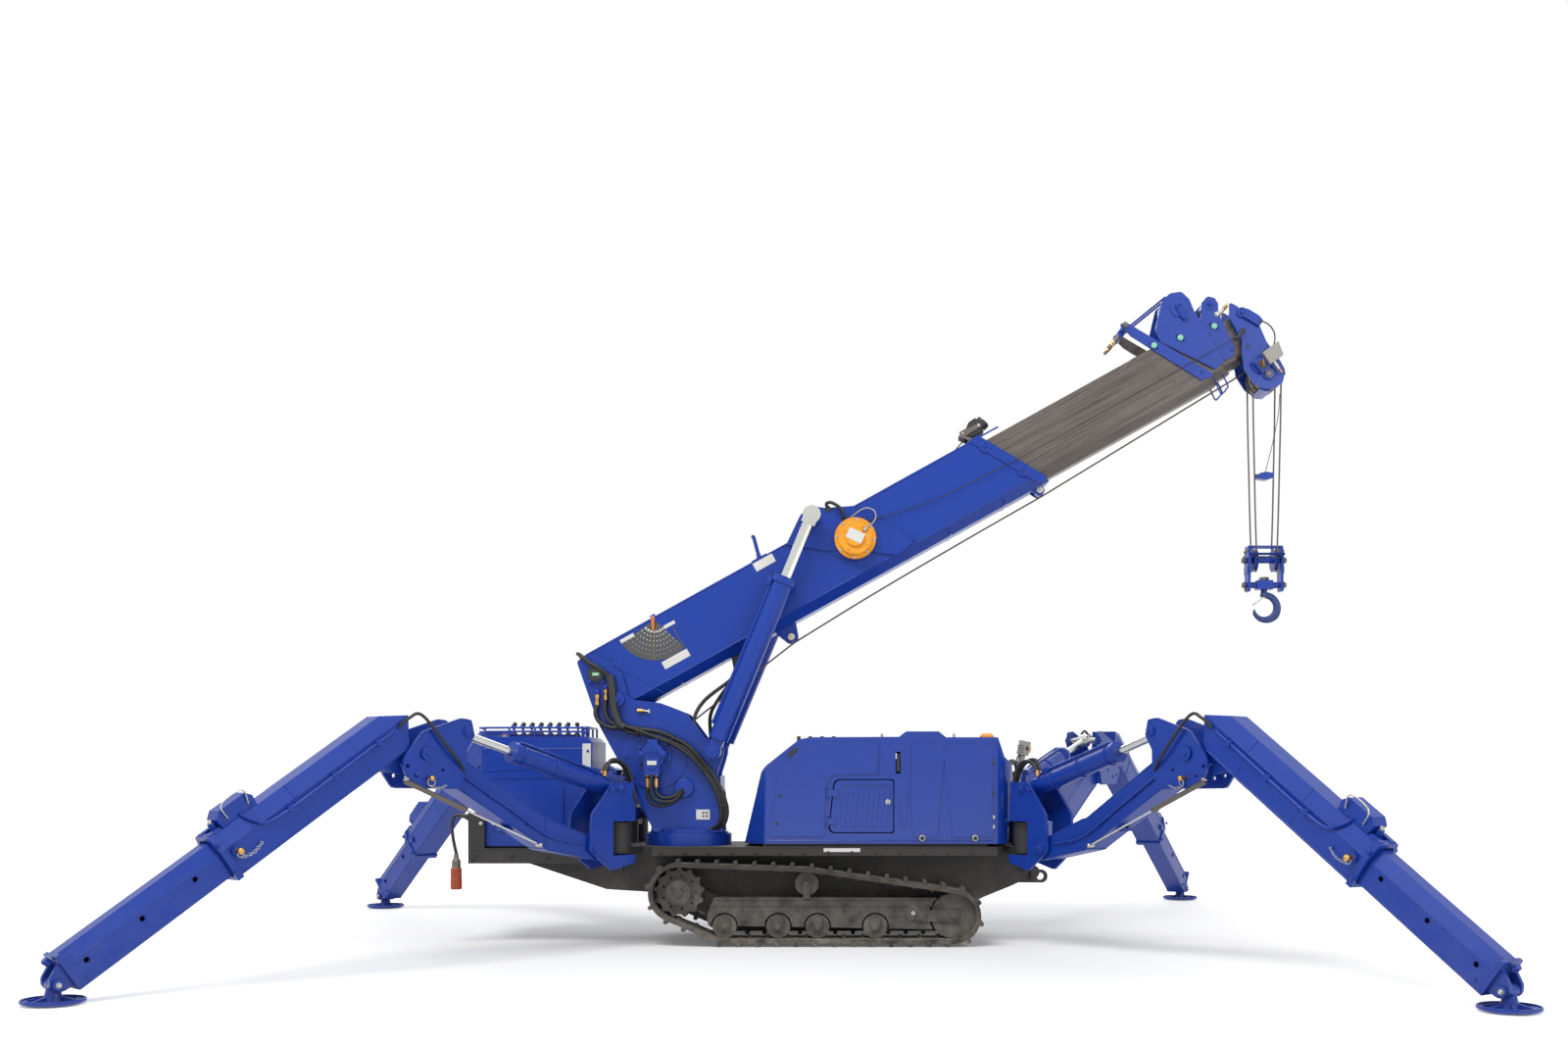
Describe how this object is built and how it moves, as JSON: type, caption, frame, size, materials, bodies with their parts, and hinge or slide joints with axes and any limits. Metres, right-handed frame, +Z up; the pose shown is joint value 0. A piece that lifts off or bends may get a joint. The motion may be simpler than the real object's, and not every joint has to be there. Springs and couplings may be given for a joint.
{
  "type": "tracked spider crane",
  "caption": "Narrow tracked mini crane with a pentagonal telescopic boom, derrick cylinders, winch and hook block, standing on folding spider outriggers.",
  "frame": {"origin": "on the ground midway between the outrigger feet, on the machine's centreline", "axes": "+X towards the engine cowl, which is where the boom points as parked; +Y to the far side; +Z up"},
  "size_m": [5.14, 4.79, 3.0731],
  "materials": {
    "paint": "gloss",
    "cowl": "gloss",
    "black": "satin",
    "belt": "matt",
    "cable": "matt",
    "rod": "polished",
    "bare": "worn",
    "yellow": "gloss",
    "red": "satin",
    "grey": "matt",
    "mesh": "matt",
    "rope": "greased"
  },
  "bodies": {
    "chassis": {"chassis_frame": "black", "tracks": "belt", "track_frames": "black", "track_wheels": "black", "slew_base": "paint", "engine_cowl": "cowl", "engine_block": "black", "control_box": "paint", "control_levers": "paint", "beacon": "grey", "front_guard": "mesh", "power_lead": "cable", "power_plug": "red"},
    "hatch": {"cowl_hatch": "cowl"},
    "mast": {"mast_frame": "paint", "winch_motor": "paint"},
    "drum": {"winch_drum": "bare"},
    "barrels": {"derrick_barrels": "paint"},
    "rods": {"derrick_rods": "rod"},
    "boom": {"boom_base": "paint", "cable_reel": "yellow"},
    "second": {"boom_second": "bare"},
    "third": {"boom_third": "paint"},
    "fourth": {"boom_fourth": "paint"},
    "head": {"boom_head": "paint", "head_sheaves": "bare"},
    "falls": {"rope_falls": "rope"},
    "block": {"hook_block": "paint"},
    "hook": {"hook": "paint"},
    "rear_near_bracket": {"rear_near_bracket": "paint"},
    "rear_near_inner_arm": {"rear_near_inner_arm": "paint"},
    "rear_near_lift_barrel": {"rear_near_lift_barrel": "paint"},
    "rear_near_lift_rod": {"rear_near_lift_rod": "rod"},
    "rear_near_outer_arm": {"rear_near_outer_arm": "paint"},
    "rear_near_beam": {"rear_near_beam": "paint"},
    "rear_near_foot": {"rear_near_foot": "paint"},
    "front_near_bracket": {"front_near_bracket": "paint"},
    "front_near_inner_arm": {"front_near_inner_arm": "paint"},
    "front_near_lift_barrel": {"front_near_lift_barrel": "paint"},
    "front_near_lift_rod": {"front_near_lift_rod": "rod"},
    "front_near_outer_arm": {"front_near_outer_arm": "paint"},
    "front_near_beam": {"front_near_beam": "paint"},
    "front_near_foot": {"front_near_foot": "paint"},
    "rear_far_bracket": {"rear_far_bracket": "paint"},
    "rear_far_inner_arm": {"rear_far_inner_arm": "paint"},
    "rear_far_lift_barrel": {"rear_far_lift_barrel": "paint"},
    "rear_far_lift_rod": {"rear_far_lift_rod": "rod"},
    "rear_far_outer_arm": {"rear_far_outer_arm": "paint"},
    "rear_far_beam": {"rear_far_beam": "paint"},
    "rear_far_foot": {"rear_far_foot": "paint"},
    "front_far_bracket": {"front_far_bracket": "paint"},
    "front_far_inner_arm": {"front_far_inner_arm": "paint"},
    "front_far_lift_barrel": {"front_far_lift_barrel": "paint"},
    "front_far_lift_rod": {"front_far_lift_rod": "rod"},
    "front_far_outer_arm": {"front_far_outer_arm": "paint"},
    "front_far_beam": {"front_far_beam": "paint"},
    "front_far_foot": {"front_far_foot": "paint"}
  },
  "joints": [
    {"name": "slew", "type": "hinge", "parent": "chassis", "child": "mast", "pos_m": [-0.5, 0, 0.514], "axis": [0, 0, 1], "continuous": true},
    {"name": "hatch_hinge", "type": "hinge", "parent": "chassis", "child": "hatch", "pos_m": [0.166, -0.2855, 0.635], "axis": [0, 0, -1], "range_deg": [0, 110]},
    {"name": "winch_spin", "type": "hinge", "parent": "mast", "child": "drum", "pos_m": [-0.65, 0, 0.874], "axis": [0, 1, 0], "continuous": true},
    {"name": "boom_derrick", "type": "hinge", "parent": "mast", "child": "boom", "pos_m": [-0.82, 0, 1.138], "axis": [0, -1, 0], "range_deg": [-29, 51]},
    {"name": "barrel_tilt", "type": "hinge", "parent": "mast", "child": "barrels", "pos_m": [-0.367, 0, 0.894], "axis": [0, -1, 0], "range_deg": [-27, 47]},
    {"name": "rod_slide", "type": "slide", "parent": "barrels", "child": "rods", "axis": [0.3849, 0, 0.923], "range_m": [-0.26, 0.45]},
    {"name": "telescope_second", "type": "slide", "parent": "boom", "child": "second", "axis": [0.8746, 0, 0.4848], "range_m": [-0.84, 0.66]},
    {"name": "telescope_third", "type": "slide", "parent": "second", "child": "third", "axis": [0.8746, 0, 0.4848], "range_m": [0, 1.5]},
    {"name": "telescope_fourth", "type": "slide", "parent": "third", "child": "fourth", "axis": [0.8746, 0, 0.4848], "range_m": [0, 1.5]},
    {"name": "telescope_head", "type": "slide", "parent": "fourth", "child": "head", "axis": [0.8746, 0, 0.4848], "range_m": [0, 1.5]},
    {"name": "falls_plumb", "type": "hinge", "parent": "head", "child": "falls", "pos_m": [2.25394, 0, 2.68184], "axis": [0, -1, 0], "range_deg": [-51, 29]},
    {"name": "hoist", "type": "slide", "parent": "falls", "child": "block", "axis": [0, 0, -1], "range_m": [-0.66, 1.3], "deforming": ["rope_falls"]},
    {"name": "hook_swivel", "type": "hinge", "parent": "block", "child": "hook", "pos_m": [2.25394, 0, 1.60984], "axis": [0, 0, 1], "continuous": true},
    {"name": "rear_near_swing", "type": "hinge", "parent": "chassis", "child": "rear_near_bracket", "pos_m": [-0.794, -0.31, 0.5], "axis": [0, 0, 1], "range_deg": [-37.4, 32.6]},
    {"name": "rear_near_lift", "type": "hinge", "parent": "rear_near_bracket", "child": "rear_near_inner_arm", "pos_m": [-0.91235, -0.43891, 0.455], "axis": [0.7366, -0.6763, 0], "range_deg": [-47, 8]},
    {"name": "rear_near_barrel_tilt", "type": "hinge", "parent": "rear_near_bracket", "child": "rear_near_lift_barrel", "pos_m": [-0.82917, -0.3483, 0.724], "axis": [0.7366, -0.6763, 0], "range_deg": [-52, 9]},
    {"name": "rear_near_rod_slide", "type": "slide", "parent": "rear_near_lift_barrel", "child": "rear_near_lift_rod", "axis": [-0.6478, -0.7056, 0.2871], "range_m": [-0.24, 0.05]},
    {"name": "rear_near_fold", "type": "hinge", "parent": "rear_near_inner_arm", "child": "rear_near_outer_arm", "pos_m": [-1.51224, -1.09229, 0.872], "axis": [-0.7366, 0.6763, 0], "range_deg": [-95, 20]},
    {"name": "rear_near_extend", "type": "slide", "parent": "rear_near_outer_arm", "child": "rear_near_beam", "axis": [-0.5602, -0.6101, -0.5603], "range_m": [-0.511, 0.109]},
    {"name": "rear_near_foot_tilt", "type": "hinge", "parent": "rear_near_beam", "child": "rear_near_foot", "pos_m": [-2.465, -2.13, 0.07], "axis": [0.7366, -0.6763, 0], "range_deg": [-35, 25]},
    {"name": "front_near_swing", "type": "hinge", "parent": "chassis", "child": "front_near_bracket", "pos_m": [1.085, -0.31, 0.5], "axis": [0, 0, -1], "range_deg": [-45.1, 24.9]},
    {"name": "front_near_lift", "type": "hinge", "parent": "front_near_bracket", "child": "front_near_inner_arm", "pos_m": [1.18506, -0.45357, 0.455], "axis": [0.8204, 0.5718, 0], "range_deg": [-47, 8]},
    {"name": "front_near_barrel_tilt", "type": "hinge", "parent": "front_near_bracket", "child": "front_near_lift_barrel", "pos_m": [1.11473, -0.35266, 0.724], "axis": [0.8204, 0.5718, 0], "range_deg": [-52, 9]},
    {"name": "front_near_rod_slide", "type": "slide", "parent": "front_near_lift_barrel", "child": "front_near_lift_rod", "axis": [0.5477, -0.7859, 0.2871], "range_m": [-0.24, 0.05]},
    {"name": "front_near_fold", "type": "hinge", "parent": "front_near_inner_arm", "child": "front_near_outer_arm", "pos_m": [1.69224, -1.18126, 0.872], "axis": [-0.8204, -0.5718, 0], "range_deg": [-95, 20]},
    {"name": "front_near_extend", "type": "slide", "parent": "front_near_outer_arm", "child": "front_near_beam", "axis": [0.467, -0.67, -0.5771], "range_m": [-0.462, 0.158]},
    {"name": "front_near_foot_tilt", "type": "hinge", "parent": "front_near_beam", "child": "front_near_foot", "pos_m": [2.465, -2.29, 0.07], "axis": [0.8204, 0.5718, 0], "range_deg": [-35, 25]},
    {"name": "rear_far_swing", "type": "hinge", "parent": "chassis", "child": "rear_far_bracket", "pos_m": [-0.794, 0.31, 0.5], "axis": [0, 0, -1], "range_deg": [-29.9, 40.1]},
    {"name": "rear_far_lift", "type": "hinge", "parent": "rear_far_bracket", "child": "rear_far_inner_arm", "pos_m": [-0.92821, 0.42231, 0.455], "axis": [-0.6418, -0.7669, 0], "range_deg": [-47, 8]},
    {"name": "rear_far_barrel_tilt", "type": "hinge", "parent": "rear_far_bracket", "child": "rear_far_lift_barrel", "pos_m": [-0.83388, 0.34337, 0.724], "axis": [-0.6418, -0.7669, 0], "range_deg": [-52, 9]},
    {"name": "rear_far_rod_slide", "type": "slide", "parent": "rear_far_lift_barrel", "child": "rear_far_lift_rod", "axis": [-0.7346, 0.6147, 0.2871], "range_m": [-0.24, 0.05]},
    {"name": "rear_far_fold", "type": "hinge", "parent": "rear_far_inner_arm", "child": "rear_far_outer_arm", "pos_m": [-1.60844, 0.99156, 0.872], "axis": [0.6418, 0.7669, 0], "range_deg": [-95, 20]},
    {"name": "rear_far_extend", "type": "slide", "parent": "rear_far_outer_arm", "child": "rear_far_beam", "axis": [-0.5765, 0.4825, -0.6594], "range_m": [-0.254, 0.366]},
    {"name": "rear_far_foot_tilt", "type": "hinge", "parent": "rear_far_beam", "child": "rear_far_foot", "pos_m": [-2.455, 1.7, 0.07], "axis": [-0.6418, -0.7669, 0], "range_deg": [-35, 25]},
    {"name": "front_far_swing", "type": "hinge", "parent": "chassis", "child": "front_far_bracket", "pos_m": [1.085, 0.31, 0.5], "axis": [0, 0, 1], "range_deg": [-47.7, 22.3]},
    {"name": "front_far_lift", "type": "hinge", "parent": "front_far_bracket", "child": "front_far_inner_arm", "pos_m": [1.17842, 0.45798, 0.455], "axis": [-0.8456, 0.5338, 0], "range_deg": [-47, 8]},
    {"name": "front_far_barrel_tilt", "type": "hinge", "parent": "front_far_bracket", "child": "front_far_lift_barrel", "pos_m": [1.11276, 0.35397, 0.724], "axis": [-0.8456, 0.5338, 0], "range_deg": [-52, 9]},
    {"name": "front_far_rod_slide", "type": "slide", "parent": "front_far_lift_barrel", "child": "front_far_lift_rod", "axis": [0.5114, 0.81, 0.2871], "range_m": [-0.24, 0.05]},
    {"name": "front_far_fold", "type": "hinge", "parent": "front_far_inner_arm", "child": "front_far_outer_arm", "pos_m": [1.65193, 1.20802, 0.872], "axis": [0.8456, -0.5338, 0], "range_deg": [-95, 20]},
    {"name": "front_far_extend", "type": "slide", "parent": "front_far_outer_arm", "child": "front_far_beam", "axis": [0.4273, 0.6769, -0.5994], "range_m": [-0.4, 0.22]},
    {"name": "front_far_foot_tilt", "type": "hinge", "parent": "front_far_beam", "child": "front_far_foot", "pos_m": [2.335, 2.29, 0.07], "axis": [-0.8456, 0.5338, 0], "range_deg": [-35, 25]}
  ],
  "couplings": [
    {"joint": "barrel_tilt", "follows": "boom_derrick", "ratio": 0.9},
    {"joint": "rod_slide", "follows": "boom_derrick", "m_per_rad": 0.49},
    {"joint": "telescope_fourth", "follows": "telescope_third", "ratio": 1},
    {"joint": "telescope_head", "follows": "telescope_third", "ratio": 1},
    {"joint": "falls_plumb", "follows": "boom_derrick", "ratio": -1},
    {"joint": "rear_near_barrel_tilt", "follows": "rear_near_lift", "ratio": 1.1},
    {"joint": "rear_near_rod_slide", "follows": "rear_near_lift", "m_per_rad": 0.275},
    {"joint": "front_near_barrel_tilt", "follows": "front_near_lift", "ratio": 1.1},
    {"joint": "front_near_rod_slide", "follows": "front_near_lift", "m_per_rad": 0.275},
    {"joint": "rear_far_barrel_tilt", "follows": "rear_far_lift", "ratio": 1.1},
    {"joint": "rear_far_rod_slide", "follows": "rear_far_lift", "m_per_rad": 0.275},
    {"joint": "front_far_barrel_tilt", "follows": "front_far_lift", "ratio": 1.1},
    {"joint": "front_far_rod_slide", "follows": "front_far_lift", "m_per_rad": 0.275}
  ]
}
